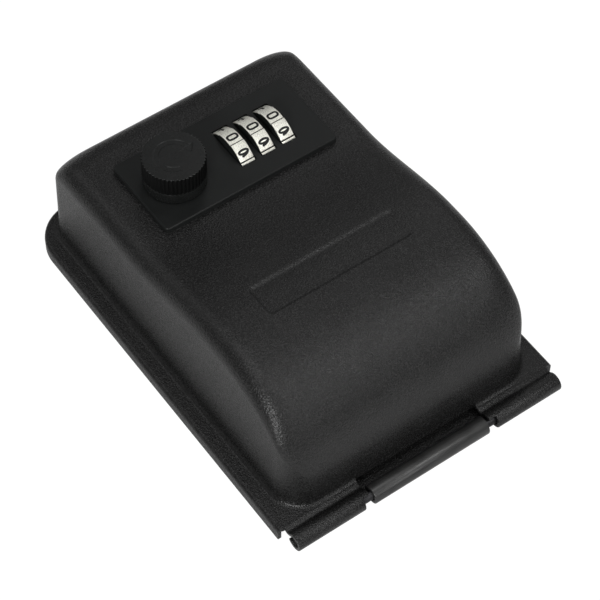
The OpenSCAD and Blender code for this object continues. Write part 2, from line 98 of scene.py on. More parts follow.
class KeyBoxDoor(bpy.types.PropertyGroup):
    """Sizes of the drawn door"""

    sheet: length("Sheet", "Thickness of the sheet metal", 0.0012)
    flange_z: length("Flange height", "Height of the top face of the flange", 0.0047)
    flange_front: length("Flange front", "From the door's front edge to its flange", 0.0079)
    flange_corner: length("Flange corner", "Radius of the flange's far corners", 0.0145)
    edge: length("Folded edge", "Radius of the fold at the flange's rim", 0.0014)
    pan_w: length("Pan width", "Width of the drawn pan at its foot", 0.090)
    pan_front: length("Pan front", "From the door's front edge to the pan", 0.0097)
    pan_back: length("Pan back", "From the door's far edge to the pan", 0.0051)
    draft: length("Draft", "How far the pan's wall leans in", 0.0007)
    foot: length("Foot", "Reach of the curve between the flange and the pan", 0.0016)
    foot_h: length("Foot height", "Height of the curve between the flange and the pan", 0.0030)
    shoulder: length("Shoulder", "Radius of the pan's shoulder", 0.007)
    front_corner: length("Front corner", "Plan radius of the pan's corners at the hinge", 0.010)
    back_corner: length("Back corner", "Plan radius of the pan's far corners", 0.007)
    front_growth: number("Front growth", "How much the front corners open upwards", 0.6)
    back_growth: number("Back growth", "How much the far corners open upwards", 0.9)
    face_z: length("Lock face", "Height of the flat face under the lock", 0.0409)
    front_l: length("Front curve length", "Length of the bulge's front curve", 0.0374)
    front_h: length("Front curve height", "Height of the bulge's front curve", 0.0317)
    back_l: length("Back curve length", "Length of the curve at the far end", 0.0125)
    back_h: length("Back curve height", "Height of the curve at the far end", 0.0107)
    slope_y0: length("Slope start", "Where the bulge starts to step down", -0.0218)
    slope_y1: length("Slope end", "Where the bulge meets the lock face", 0.0195)
    label_hw: length("Label half width", "Half width of the plain label recess", 0.0255)
    label_y0: length("Label front", "Front edge of the label recess", -0.0258)
    label_y1: length("Label back", "Back edge of the label recess", -0.0145)
    label_corner: length("Label corner", "Corner radius of the label recess", 0.0014)
    label_depth: length("Label depth", "Depth of the label recess at its back edge", 0.0007)
    label_edge: length("Label edge", "Width of the slope at the recess's front edge", 0.0007)
    label_spread: length("Label spread", "How much wider the slope is at the back edge", 0.0009)
    opening_hw: length("Opening half width", "Half width of the hole under the lock plate", 0.0263)
    opening_hl: length("Opening half length", "Half length of the hole under the lock plate", 0.0127)


class KeyBoxHinge(bpy.types.PropertyGroup):
    """Sizes of the hinge"""

    barrel_r: length("Barrel radius", "Outer radius of the hinge barrels", 0.003)
    outer_x0: length("Outer barrel start", "Inner end of each outer barrel", 0.0248)
    outer_x1: length("Outer barrel end", "Outer end of each outer barrel", 0.0488)
    middle_x: length("Middle barrel", "Half length of the middle barrel", 0.0212)
    slot_x: length("Slot", "Half width of the slot over the middle barrel", 0.0224)
    leaf_crest: length("Leaf crest", "How far the leaf reaches over the pin beside the slot", 0.001)
    tongue_x: length("Tongue", "Half width of the back plate's tongue under the hinge", 0.0244)
    tongue_y: length("Tongue reach", "From the pin to the tongue's front edge", 0.0005)
    overlap: length("Overlap", "How far the leaf starts inside the flange", 0.0006)
    valley: length("Valley", "How long the leaf runs on before it bends into the valley", 0.0018)
    leave: angle("Leave", "Where round the pin the valley meets the barrel", 42)
    curl_end: angle("Curl end", "Where round the pin the outer barrels' sheet ends", 332)
    middle_end: angle("Middle end", "Where round the pin the middle barrel's sheet ends", -28)


class KeyBoxBack(bpy.types.PropertyGroup):
    """Sizes of the back plate"""

    front: length("Front", "From the door's front edge to the back plate's", 0.0092)
    bend: length("Bend", "Radius of the bend under the rim", 0.0016)
    corner: length("Corner", "Radius of the far corners", 0.0127)
    rim_z: length("Rim", "Height of the rim", 0.0031)
    rivet_hole: length("Rivet hole", "Radius of the rivets' holes", 0.0015)
    rivet_head: length("Rivet head", "Radius of the rivets' heads", 0.0026)


class KeyBoxLock(bpy.types.PropertyGroup):
    """Sizes of the combination lock"""

    corner: length("Plate corner", "Corner radius of the lock plate", 0.0015)
    chamfer: length("Plate chamfer", "Bevel along the plate's edge", 0.0003)
    window_gap: length("Window gap", "Gap between a number wheel and its window", 0.0003)
    window_corner: length("Window corner", "Corner radius of a window", 0.0004)
    window_lip: length("Window lip", "Bevel round a window", 0.00012)
    teeth: IntProperty(name="Teeth", description="Serrations round the knob", default=48)
    collar: length("Collar", "Height of the knob's smooth lower part", 0.0040)
    arrow_inner: length("Arrow inner", "Inner radius of the arrow on the knob", 0.0045)
    arrow_outer: length("Arrow outer", "Outer radius of the arrow on the knob", 0.0062)
    arrow_head: length("Arrow head", "Half width of the arrow's head", 0.0020)
    arrow_depth: length("Arrow depth", "Depth of the arrow", 0.00015)
    tooth: length("Tooth depth", "Depth of the knob's serrations", 0.00032)
    digit_w: length("Digit width", "Width of a numeral", 0.0033)
    digit_h: length("Digit height", "Height of a numeral", 0.0019)
    stroke: length("Stroke", "Width of a numeral's line", 0.00072)
    phase: angle("Wheel phase", "Angle of the numeral 0 from the top", 4.5)
    seam: angle("Seam", "Angle from a numeral to the groove under it", 14)
    groove: length("Groove", "Width of the grooves between numerals", 0.00038)
    groove_depth: length("Groove depth", "Depth of the grooves between numerals", 0.0003)
    step: length("Step", "How much each numeral's pad stands over the one before", 0.0003)
    wheel_bore: length("Wheel bore", "Radius of a number wheel's bore", 0.0035)
    wheel_rim: length("Wheel rim", "Width of the broken edge of a wheel's tread", 0.00025)


class KeyBoxFinishes(bpy.types.PropertyGroup):
    """Colours of the finishes"""

    coat: colour("Powder coat", "Textured black coat of the case", (0.0100, 0.0100, 0.0099))
    lock: colour("Lock black", "Smooth black of the lock plate", (0.0095, 0.0102, 0.0100))
    knob: colour("Knob black", "Glossy black of the knob", (0.0085, 0.0090, 0.0088))
    wheel: colour("Wheel metal", "Warm bright metal of the wheels", (1.0, 0.955, 0.86))
    # The numerals' black, which also paints shade into the wheels' grooves
    ink_and_groove_shade: colour("Ink", "Black of the numerals", (0.006, 0.006, 0.006))
    zinc: colour("Cast zinc", "Dull grey casting", (0.36, 0.37, 0.37))
    steel: colour("Plated steel", "Bright zinc plating", (0.58, 0.59, 0.60))
    dark_steel: colour("Dark steel", "Blackened steel of the hinge pin", (0.05, 0.05, 0.052))
    brass: colour("Brass", "Plain brass", (0.62, 0.47, 0.21))
    spring: colour("Spring steel", "Bright spring steel", (0.62, 0.63, 0.63))


class KeyBoxStage(bpy.types.PropertyGroup):
    """The camera and the studio"""

    azimuth: angle("Azimuth", "Direction of view round the box", -35.98)
    elevation: angle("Elevation", "Height of view over the horizon", 53.87)
    roll: angle("Roll", "Turn of the camera about its view", 0.532)
    place: FloatVectorProperty(
        name="Place", description="Where the camera stands", subtype="XYZ", unit="LENGTH",
        default=(-0.24032, -0.33588, 0.57056),
    )
    lens: FloatProperty(
        name="Lens", description="Focal length for a 36 mm sensor", unit="CAMERA", default=135.2
    )
    floor: colour("Floor", "Colour of the floor", (0.86, 0.86, 0.86))
    floor_reach: length("Floor reach", "From the box to the floor's edge", 3.0)
    lamp_distance: length("Lamp distance", "From the box to each lamp", 0.9)
    floor_white: number("Floor white", "Strength of the white that the camera sees there", 1.12)
    floor_share: number("Floor share", "Share of that white; the rest shows the shadow", 0.85)
    fill: number("Fill", "Strength of the light from all round", 0.08)
    backdrop: number("Backdrop", "Share of the white backdrop that glossy faces show", 0.12)


def settings():
    """All settings of the key box."""
    return bpy.context.scene.key_box


# Shader maths


MIX_FIRST, MIX_SECOND, MIX_RESULT = 6, 7, 2  # the colour sockets of a Mix node


class Value:
    """A shader value that takes part in Python maths."""

    def __init__(self, nodes, output):
        self.nodes = nodes
        self.output = output

    def maths(self, operation, left, right):
        """A Math node's result for two values or numbers."""
        return self.nodes.add("ShaderNodeMath", {"operation": operation}, {0: left, 1: right})

    def __add__(self, other):
        return self.maths("ADD", self, other)

    def __radd__(self, other):
        return self.maths("ADD", other, self)

    def __mul__(self, other):
        return self.maths("MULTIPLY", self, other)

    def __rmul__(self, other):
        return self.maths("MULTIPLY", other, self)


class Nodes:
    """The nodes of a material or of the world."""

    def __init__(self, owner):
        owner.use_nodes = True
        self.tree = owner.node_tree

    def join(self, value, socket):
        """Links a value to a socket, or sets the socket to a constant."""
        if isinstance(value, Value):
            self.tree.links.new(value.output, socket)
        else:
            socket.default_value = value

    def add(self, kind, choices=None, sockets=None, output=0):
        """Adds a node, with its settings and then its sockets; stops are a ramp's."""
        node = self.tree.nodes.new(kind)
        for name, value in (choices or {}).items():
            if name == "stops":
                for stop, (place, shade) in zip(node.color_ramp.elements, value):
                    stop.position = place
                    stop.color = (shade, shade, shade, 1)
            else:
                setattr(node, name, value)
        for key, value in (sockets or {}).items():
            self.join(value, node.inputs[key])
        return Value(self, node.outputs[output])

    def light_path(self, ray):
        """1 for rays of one kind and 0 for all others."""
        return self.add("ShaderNodeLightPath", output=ray)


class Finish(Nodes):
    """A material, built node by node."""

    def __init__(self, name, **constants):
        self.material = bpy.data.materials.new(name)
        super().__init__(self.material)
        self.shader = self.tree.nodes["Principled BSDF"]
        self.feed(**constants)

    def feed(self, **sockets):
        """Feeds the surface shader; base_color stands for Base Color, and so on."""
        for key, value in sockets.items():
            name = key.replace("_", " ").title().replace("Ior", "IOR")
            self.join(value, self.shader.inputs[name])

    def place(self):
        """Where a point lies on its piece."""
        return self.add("ShaderNodeTexCoord", output="Object")

    def noise(self, scale, detail, vector=None):
        """Even noise from 0 to 1 whose spots are about 1 / scale metres across."""
        sockets = {"Vector": vector or self.place(), "Scale": scale, "Detail": detail}
        return self.add("ShaderNodeTexNoise", {"normalize": True}, sockets)

    def ramp(self, value, low, high):
        """0 below low, 1 above high and straight between them."""
        return self.add("ShaderNodeValToRGB", {"stops": ((low, 0), (high, 1))}, {"Fac": value})

    def blend(self, factor, first, second):
        """A colour between two colours."""
        sockets = {"Factor": factor, MIX_FIRST: (*first, 1), MIX_SECOND: (*second, 1)}
        return self.add("ShaderNodeMix", {"data_type": "RGBA"}, sockets, output=MIX_RESULT)

    def bump(self, height, distance, strength):
        """A normal roughened by a height from 0 to 1, distance metres deep."""
        sockets = {"Height": height, "Distance": distance, "Strength": strength}
        return self.add("ShaderNodeBump", {}, sockets)


def shaded(base, factor):
    """A colour made lighter or darker."""
    return tuple(min(1.0, channel * factor) for channel in base)


def made_once(make):
    """Lets several pieces share the material that a function makes."""
    made = []

    def fetch():
        if not made:
            made.append(make())
        return made[0]

    return fetch


@made_once
def powder_coat():
    """Satin black powder coat with a fine grain."""
    base = settings().finishes.coat
    finish = Finish("powder_coat", specular_ior_level=0.31)
    grain = finish.noise(1700, 3.0)
    cloud = finish.noise(70, 3.0)
    speck = finish.ramp(finish.noise(2600, 1.0), 0.52, 0.70)
    finish.feed(
        base_color=finish.blend(speck * 0.8 + cloud * 0.3, shaded(base, 0.5), shaded(base, 2.5)),
        roughness=0.20 + cloud * 0.10 + speck * 0.16,
        normal=finish.bump(grain, 0.00022, 1.0),
    )
    return finish.material


@made_once
def barrel_highlight_coat():
    """The same coat on the barrel of the back plate, made much lighter and partly metallic: a painted highlight
    along the barrel.
    """
    base = settings().finishes.coat
    finish = Finish("barrel_highlight_coat", metallic=0.6, specular_ior_level=0.6)
    grain = finish.noise(2300, 2.0)
    cloud = finish.noise(160, 3.0)
    finish.feed(
        # Between 2.6 and 7 times the coat's colour: the painted highlight
        base_color=finish.blend(cloud, shaded(base, 2.6), shaded(base, 7)),
        roughness=0.28 + cloud * 0.14,
        normal=finish.bump(grain, 0.00005, 0.45),
    )
    return finish.material


@made_once
def lock_black():
    """Smooth satin black of the lock plate."""
    base = settings().finishes.lock
    finish = Finish("lock_black", specular_ior_level=0.17)
    grain = finish.noise(5200, 2.0)
    cloud = finish.noise(220, 3.0)
    finish.feed(
        base_color=finish.blend(cloud, shaded(base, 0.85), shaded(base, 1.35)),
        roughness=0.33 + cloud * 0.10,
        normal=finish.bump(grain, 0.00002, 0.5),
    )
    return finish.material


@made_once
def knob_black():
    """Glossier black of the turn knob."""
    base = settings().finishes.knob
    finish = Finish("knob_black", specular_ior_level=0.26)
    grain = finish.noise(4200, 2.0)
    cloud = finish.noise(300, 3.0)
    finish.feed(
        base_color=finish.blend(cloud, shaded(base, 0.85), shaded(base, 1.3)),
        roughness=0.22 + cloud * 0.10,
        normal=finish.bump(grain, 0.00002, 0.45),
    )
    return finish.material


@made_once
def grip_shade_black():
    """Black of the knob's toothed band, far darker than the knob: painted shade in the band."""
    base = settings().finishes.knob
    finish = Finish("grip_shade_black", specular_ior_level=0.1)
    cloud = finish.noise(900, 3.0)
    finish.feed(
        # A tenth to three tenths of the knob's colour: the painted shade
        base_color=finish.blend(cloud, shaded(base, 0.1), shaded(base, 0.3)),
        roughness=0.6 + cloud * 0.1,
        normal=finish.bump(cloud, 0.00002, 0.4),
    )
    return finish.material


@made_once
def wheel_metal():
    """Warm bright plating with fine scratches across the tread."""
    base = settings().finishes.wheel
    finish = Finish("wheel_metal", metallic=0.4)
    stretch = finish.add(
        "ShaderNodeMapping", {}, {"Vector": finish.place(), "Scale": (0.25, 1.0, 1.0)}
    )
    lines = finish.noise(5200, 2.0, stretch)
    cloud = finish.noise(900, 3.0)
    spots = finish.ramp(finish.noise(4200, 1.0), 0.36, 0.52)
    finish.feed(
        base_color=finish.blend(spots * 0.7 + cloud * 0.3, shaded(base, 0.55), shaded(base, 1.05)),
        roughness=0.24 + cloud * 0.2,
        normal=finish.bump(lines + spots * 0.6, 0.00005, 0.8),
    )
    return finish.material


@made_once
def ink_and_groove_shade():
    """Matt black fill of the numerals, also painted into the wheels' grooves as shade."""
    base = settings().finishes.ink_and_groove_shade
    finish = Finish("numeral_ink_and_groove_shade", specular_ior_level=0.25)
    cloud = finish.noise(2500, 2.0)
    finish.feed(
        base_color=finish.blend(cloud, shaded(base, 0.8), shaded(base, 1.6)),
        roughness=0.45 + cloud * 0.15,
        normal=finish.bump(cloud, 0.00001, 0.4),
    )
    return finish.material


def metal(name, base, rough, stretch, depth):
    """A plain metal with stretched rolling or drawing marks."""
    finish = Finish(name, metallic=1.0)
    vector = finish.add("ShaderNodeMapping", {}, {"Vector": finish.place(), "Scale": stretch})
    marks = finish.noise(2400, 3.0, vector)
    cloud = finish.noise(130, 3.0)
    finish.feed(
        base_color=finish.blend(cloud * 0.6 + marks * 0.4, shaded(base, 0.82), shaded(base, 1.18)),
        roughness=rough + cloud * 0.12,
        normal=finish.bump(marks, depth, 0.5),
    )
    return finish.material


@made_once
def cast_zinc():
    """Dull grey of the castings."""
    return metal("cast_zinc", settings().finishes.zinc, 0.46, (0.4, 0.4, 0.4), 0.00006)


@made_once
def plated_steel():
    """Zinc plating with rolling marks."""
    return metal("plated_steel", settings().finishes.steel, 0.30, (0.12, 1.0, 1.0), 0.00002)


@made_once
def dark_steel():
    """Blackened steel of the hinge pin."""
    return metal("dark_steel", settings().finishes.dark_steel, 0.38, (0.1, 1.0, 1.0), 0.00002)


@made_once
def brass():
    """Plain brass."""
    return metal("brass", settings().finishes.brass, 0.28, (1.0, 0.2, 1.0), 0.00002)


@made_once
def spring_steel():
    """Bright spring steel."""
    return metal("spring_steel", settings().finishes.spring, 0.24, (1.0, 1.0, 0.12), 0.00002)


# Building pieces


def inside(point, outline):
    """True if a point of the plan lies inside an outline."""
    found = False
    x, y = point
    for (ax, ay), (bx, by) in zip(outline, outline[1:] + outline[:1]):
        if (ay > y) != (by > y) and x < ax + (bx - ax) * (y - ay) / (by - ay):
            found = not found
    return found


class Shell:
    """The points and faces of one piece."""

    def __init__(self):
        self.points = []
        self.faces = []
        self.looks = []

    def grid(self, rows, wrap=False, look=0):
        """Faces between rows of points; wrap joins the end of each row to its start."""
        count = len(rows[0])
        first = len(self.points)
        for row in rows:
            self.points += [tuple(point) for point in row]
        for a in range(first, first + count * (len(rows) - 1), count):
            for c in range(count if wrap else count - 1):
                d = (c + 1) % count
                self.faces.append((a + c, a + d, a + count + d, a + count + c))
                self.looks.append(look)

    def level(self, outline, holes, z):
        """A level face inside an outline and outside its holes."""
        loops = [outline, *holes]
        points = [Vector(p) for loop in loops for p in loop]
        edges = []
        for loop in loops:
            start = len(edges)
            edges += [(start + i, start + (i + 1) % len(loop)) for i in range(len(loop))]
        whole, close = 0, 1e-9  # all faces are wanted, and points this close are one
        flat, _, faces, *_ = delaunay_2d_cdt(points, edges, [], whole, close)
        first = len(self.points)
        self.points += [(p.x, p.y, z) for p in flat]
        for face in faces:
            centre = sum((flat[i] for i in face), Vector((0, 0))) / len(face)
            if inside(centre, outline) and not any(inside(centre, hole) for hole in holes):
                self.faces.append(tuple(first + i for i in face))
                self.looks.append(0)

    def build(self, name, looks, sharp=38):
        """A piece with these points, faces and finishes, smooth but for its sharp edges."""
        mesh = bpy.data.meshes.new(name)
        mesh.from_pydata(self.points, [], self.faces)
        for look in looks:
            mesh.materials.append(look)
        mesh.polygons.foreach_set("material_index", self.looks)
        net = bmesh.new()
        net.from_mesh(mesh)
        bmesh.ops.remove_doubles(net, verts=net.verts, dist=WELD)
        bmesh.ops.dissolve_degenerate(net, edges=net.edges, dist=WELD)
        bmesh.ops.recalc_face_normals(net, faces=net.faces)
        net.to_mesh(mesh)
        net.free()
        piece = bpy.data.objects.new(name, mesh)
        bpy.context.scene.collection.objects.link(piece)
        soften(piece, sharp)
        return piece


def soften(piece, sharp):
    """Smooth shading, with edges sharper than this many degrees kept crisp."""
    piece.data.shade_smooth()
    piece.data.set_sharp_from_angle(angle=math.radians(sharp))


def bake(piece, kind, **choices):
    """Applies a modifier to a piece's mesh."""
    modifier = piece.modifiers.new(kind.title(), kind)
    for name, value in choices.items():
        setattr(modifier, name, value)
    bpy.context.view_layer.update()
    changed = piece.evaluated_get(bpy.context.evaluated_depsgraph_get())
    piece.data = bpy.data.meshes.new_from_object(changed)
    piece.modifiers.clear()
    return piece


def joined(name, *pieces):
    """One piece made of several, each with its own finishes."""
    first = pieces[0]
    looks = []
    net = bmesh.new()
    for piece in pieces:
        start = len(net.faces)
        net.from_mesh(piece.data)
        net.faces.ensure_lookup_table()
        own = list(piece.data.materials)
        looks += [look for look in own if look not in looks]
        for face in net.faces[start:]:
            face.material_index = looks.index(own[face.material_index])
    for look in looks[len(first.data.materials):]:
        first.data.materials.append(look)
    net.to_mesh(first.data)
    net.free()
    for piece in pieces[1:]:
        bpy.data.objects.remove(piece)
    first.name = name
    first.data.name = name
    return first


def block(low, high):
    """A plain box that cuts another piece."""
    shell = Shell()
    corners = [(low[0], low[1]), (high[0], low[1]), (high[0], high[1]), (low[0], high[1])]
    shell.grid([[(x, y, z) for x, y in corners] for z in (low[2], high[2])], wrap=True)
    for z in (low[2], high[2]):
        shell.level(corners, [], z)
    return shell.build("cutter", [])


def cut(piece, *cutters):
    """Cuts the cutters out of a piece and removes them."""
    for cutter in cutters:
        bake(piece, "BOOLEAN", operation="DIFFERENCE", solver="EXACT", object=cutter)
        bpy.data.objects.remove(cutter)


def finished(piece, body, slot, *nodes):
    """Puts a piece on its body and hides the CAD nodes it stands for; slot is not used."""
    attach(piece, body)
    if nodes:
        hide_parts(*nodes)


def arc(centre, radius, start, end, steps):
    """Points on an arc, with angles in degrees."""
    turns = [math.radians(start + (end - start) * i / steps) for i in range(steps + 1)]
    return [(centre[0] + radius * math.cos(a), centre[1] + radius * math.sin(a)) for a in turns]


def spaced(stops):
    """Numbers from stop to stop; each stop is a place and the steps that lead to it."""
    numbers = [stops[0][0]]
    for (start, _), (end, steps) in zip(stops, stops[1:]):
        numbers += [start + (end - start) * (i + 1) / steps for i in range(steps)]
    return numbers


def smooth(share):
    """0 up to 0, 1 from 1 on and a soft step between them."""
    share = min(1.0, max(0.0, share))
    return share * share * (3 - 2 * share)


def drop(share, height):
    """How far a quarter ellipse has dropped at a share of its length."""
    share = min(1.0, max(0.0, share))
    return height * (1 - math.sqrt(1 - share * share))


def bent(profile, spans, facing, look):
    """Bent sheet: spans of a profile in y and z, each with its x0, x1 and number of points.

    facing is the outer side's direction along z where the profile starts.
    """
    broken_edge = 0.0002
    shell = Shell()
    for x0, x1, count in spans:
        shell.grid([[(x, y, z) for y, z in profile[:count]] for x in (x0, x1)])
    piece = shell.build("bent", [look])
    start = Vector(profile[0])
    first = min(piece.data.polygons, key=lambda face: (face.center.yz - start).length)
    if first.normal.z * facing < 0:
        piece.data.flip_normals()
    thickness = settings().door.sheet
    bake(piece, "SOLIDIFY", thickness=thickness, offset=-1.0, use_even_offset=True)
    return bake(piece, "BEVEL", width=broken_edge, segments=2, limit_method="ANGLE", angle_limit=1.0)


# The door


class DoorShape:
    """The drawn door's outer face, as the CAD model draws it but finer."""

    corner_steps = 16
    shoulder_steps = 18

    def __init__(self):
        door = settings().door
        self.door = door
        self.front = DOOR_LOW.y + door.pan_front
        self.back = DOOR_HIGH.y - door.pan_back
        self.bulge = DOOR_HIGH.z
        self.wall_foot = door.flange_z + door.foot_h
        self.top_inset = door.draft + door.shoulder
        straight_y0, straight_y1 = self.straight(self.top_inset, 1)
        margin = 0.0018  # how far finer rows and columns reach past the label's edges
        places = spaced((
            (straight_y0, 0), (door.label_y0 - margin, 9), (door.label_y0 + margin, 12),
            (door.label_y1 - margin, 8), (door.label_y1 + margin, 12), (straight_y1, 40),
        ))
        self.shares = [(y - straight_y0) / (straight_y1 - straight_y0) for y in places]
        half = door.pan_w / 2 - self.top_inset
        columns = spaced((
            (-half, 0), (-door.label_hw - margin, 5), (-door.label_hw + margin, 12),
            (door.label_hw - margin, 16), (door.label_hw + margin, 12), (half, 5),
        ))
        self.columns = [x / half for x in columns]

    def straight(self, inset, growth):
        """Where the straight side of a ring starts and ends."""
        front_r, back_r = self.corners(inset, growth)
        return self.front + inset + front_r, self.back - inset - back_r

    def corners(self, inset, growth):
        """Radii of a ring's front and far corners."""
        door = self.door
        less = min(inset, door.sheet)
        return (
            door.front_corner * (1 + door.front_growth * growth) - less,
            door.back_corner * (1 + door.back_growth * growth) - less,
        )

    def half(self, half_w, y0, y1, front_r, back_r):
        """Half of a rounded rectangle, from its front straight to its back straight."""
        front = arc((half_w - front_r, y0 + front_r), front_r, -90, 0, self.corner_steps)
        back = arc((half_w - back_r, y1 - back_r), back_r, 0, 90, self.corner_steps)
        run = y1 - back_r - y0 - front_r
        side = [(half_w, y0 + front_r + run * share) for share in self.shares[1:-1]]
        return front + side + back

    def loop(self, half):
        """A closed outline: the right half, the back, the left half and the front."""
        mirrored = [(-x, y) for x, y in half[::-1]]
        back = [(half[-1][0] * -c, half[-1][1]) for c in self.columns[1:-1]]
        front = [(half[0][0] * c, half[0][1]) for c in self.columns[1:-1]]
        return half + back + mirrored + front

    def outline(self, inset, growth):
        """The right half of a ring, inset from the pan's foot."""
        half_w = self.door.pan_w / 2 - inset
        y0, y1 = self.front + inset, self.back - inset
        return self.half(half_w, y0, y1, *self.corners(inset, growth))

    def top(self, y):
        """Height of the pan's top along the box."""
        door = self.door
        front_share = (self.front + door.front_l - y) / door.front_l
        back_share = (y - self.back + door.back_l) / door.back_l
        step = smooth((y - door.slope_y0) / (door.slope_y1 - door.slope_y0))
        level = self.bulge - (self.bulge - door.face_z) * step
        return level - drop(front_share, door.front_h) - drop(back_share, door.back_h)

    def recess(self, x, y):
        """How deep the plain label recess is at a place."""
        door = self.door
        half_l = (door.label_y1 - door.label_y0) / 2
        corner = door.label_corner
        dx = abs(x) - door.label_hw + corner
        dy = abs(y - (door.label_y0 + door.label_y1) / 2) - half_l + corner
        outside = math.hypot(max(dx, 0), max(dy, 0)) + min(max(dx, dy), 0) - corner
        back = min(1.0, max(0.0, (y - door.label_y0) / (door.label_y1 - door.label_y0)))
        edge = door.label_edge + door.label_spread * back
        shallow = 0.6  # the front edge's share of the depth
        depth = door.label_depth * (shallow + (1 - shallow) * back)
        return depth * smooth(0.5 - outside / edge)

    def wall(self, inset, z):
        """A level ring of the pan's wall."""
        return [(x, y, z) for x, y in self.loop(self.outline(inset, 0))]

    def shoulder(self, turn):
        """One ring of the shoulder; turn runs from 0 on the wall to 90 on the top."""
        door = self.door
        growth = 1 - math.cos(math.radians(turn))
        below = door.shoulder * (1 - math.sin(math.radians(turn)))
        ring = self.loop(self.outline(door.draft + door.shoulder * growth, growth))
        return [(x, y, self.top(y) - below) for x, y in ring]

    def flange(self, out, z):
        """A ring of the flange's rim, moved outwards, without its front."""
        door = self.door
        half_w = DOOR_HIGH.x - door.edge + out
        corner = door.flange_corner - door.edge + out
        y0 = DOOR_LOW.y + door.flange_front
        half = self.half(half_w, y0, DOOR_HIGH.y - door.edge + out, WELD / 2, corner)
        return [(x, y, z) for x, y in self.loop(half)]

    def skin(self):
        """The outer face as one open surface."""
        door = self.door
        shell = Shell()
        foot = []
        for turn in (0, 12, 24, 36, 48, 60, 75, 90):
            a = math.radians(turn)
            inset = -door.foot * (1 - math.sin(a))
            foot.append(self.wall(inset, door.flange_z + door.foot_h * (1 - math.cos(a))))
        steps = self.shoulder_steps
        rings = [self.shoulder(90 * i / steps) for i in range(steps + 1)]
        shell.grid(foot + rings, wrap=True)
        top = self.outline(self.top_inset, 1)
        rows = []
        for half_w, y in top:
            z = self.top(y)
            rows.append([(half_w * c, y, z - self.recess(half_w * c, y)) for c in self.columns])
        shell.grid(rows)
        shell.grid([foot[0], self.flange(0, door.flange_z)], wrap=True)
        rim = []
        for turn in (0, 22.5, 45, 67.5, 90):
            a = math.radians(turn)
            down = door.edge * (1 - math.cos(a))
            rim.append(self.flange(door.edge * math.sin(a), door.flange_z - down))
        rim.append(self.flange(door.edge, DOOR_LOW.z))
        front_count = len(self.columns) - 2
        shell.grid([ring[:-front_count] for ring in rim])
        return shell


def cubic(start, first, second, end, t):
    """A place on a curve from start to end that its two middle points steer."""
    s = 1 - t
    return start * s ** 3 + first * 3 * s * s * t + second * 3 * s * t * t + end * t ** 3


def curl(side):
    """Profile of an outer barrel: from the flange through the valley and round the pin."""
    door, hinge = settings().door, settings().hinge
    y = DOOR_LOW.y
    barrel_y, barrel_z = y + hinge.barrel_r, hinge.barrel_r
    turns = math.degrees(hinge.leave), math.degrees(hinge.curl_end)
    barrel = arc((barrel_y, barrel_z), hinge.barrel_r, *turns, 40)
    start = Vector((y + door.flange_front + hinge.overlap, door.flange_z))
    end = Vector(barrel[0])
    level = start - Vector((hinge.valley, 0))
    steep = end + Vector((math.sin(hinge.leave), -math.cos(hinge.leave))) * hinge.valley
    steps = 12
    valley = [cubic(start, level, steep, end, i / steps) for i in range(steps)]
    profile = [tuple(place) for place in valley] + barrel
    upper = profile[:steps + len(barrel) // 2]
    crest = sum(place_y >= barrel_y - hinge.leaf_crest for place_y, _ in upper)
    leaf = sorted((side * hinge.slot_x, side * hinge.outer_x0))
    whole = sorted((side * hinge.outer_x0, side * hinge.outer_x1))
    return bent(profile, [(*leaf, crest), (*whole, len(profile))], 1, powder_coat())


class DressDoor(bpy.types.Operator):
    """Build the drawn door with its folded rim, label recess and outer hinge barrels"""

    bl_idname = "key_box.dress_door"
    bl_label = "Door"

    def execute(self, context):
        door, hinge = settings().door, settings().hinge
        shape = DoorShape()
        skin = shape.skin().build("door_skin", [powder_coat()])
        if max(skin.data.polygons, key=lambda face: face.center.z).normal.z < 0:
            skin.data.flip_normals()
        bake(skin, "SOLIDIFY", thickness=door.sheet, offset=-1.0, use_even_offset=True)
        below, web, reach = 0.001, 0.0002, 0.004
        # The slot starts below the wall face and stops a little short of the pan
        slot = block(
            (-hinge.slot_x, DOOR_LOW.y, -below),
            (hinge.slot_x, shape.front - web, shape.wall_foot),
        )
        lock_y = middle("number_wheel_2").y
        opening = block(
            (-door.opening_hw, lock_y - door.opening_hl, door.face_z - reach),
            (door.opening_hw, lock_y + door.opening_hl, door.face_z + reach),
        )
        cut(skin, slot, opening)
        piece = joined("door_skin", skin, curl(-1), curl(1))
        soften(piece, 50)
        finished(piece, "door", "powder_coat", "door_shell")
        return {"FINISHED"}


# The back plate


